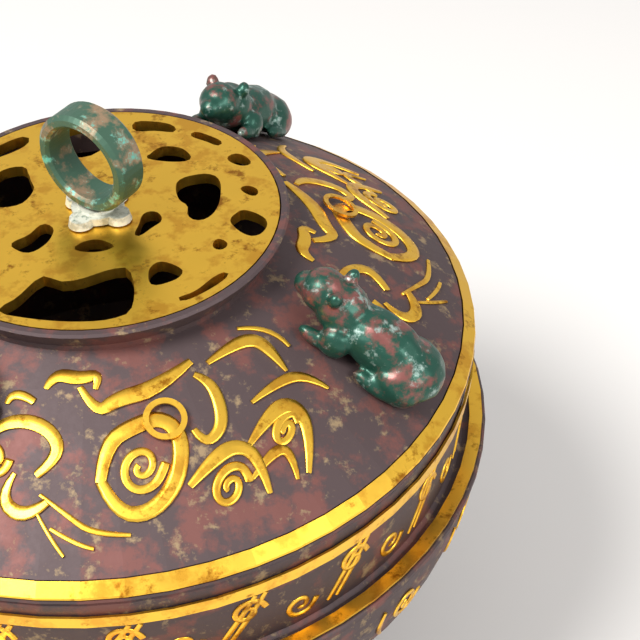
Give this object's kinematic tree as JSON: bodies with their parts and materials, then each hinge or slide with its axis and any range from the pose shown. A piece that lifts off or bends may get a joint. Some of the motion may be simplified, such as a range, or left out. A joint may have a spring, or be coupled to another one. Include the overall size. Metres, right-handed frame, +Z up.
{
  "type": "incense burner",
  "caption": "Footed bronze incense burner with an inlaid lift-off domed lid, pierced gilt top, ring knop and beasts.",
  "frame": {"origin": "centre of the footprint, at the feet's soles", "axes": "+Z up along the vessel's axis, -Y towards the viewer of the picture"},
  "size_m": [0.156, 0.156, 0.1493],
  "materials": {
    "bronze": "patinated",
    "gilt": "polished",
    "verdigris": "patinated",
    "grey_base": "patinated",
    "beast_bronze": "patinated"
  },
  "bodies": {
    "vessel": {"bowl": "bronze", "neck_border_band": "gilt", "flange_gilt_band": "gilt", "foot_1": "bronze", "foot_2": "bronze", "foot_3": "bronze"},
    "lid": {"lid_shell": "bronze", "lid_rim_band": "gilt", "openwork_disc": "gilt", "knop_base": "grey_base", "knop_ring": "verdigris", "beast_1": "beast_bronze", "roundel_1": "gilt", "beast_2": "beast_bronze", "roundel_2": "gilt", "beast_3": "beast_bronze", "roundel_3": "gilt", "beast_4": "beast_bronze", "roundel_4": "gilt"}
  },
  "joints": [
    {"name": "lid_lift", "type": "slide", "parent": "vessel", "child": "lid", "axis": [0, 0, 1], "range_m": [0, 0.06]}
  ]
}
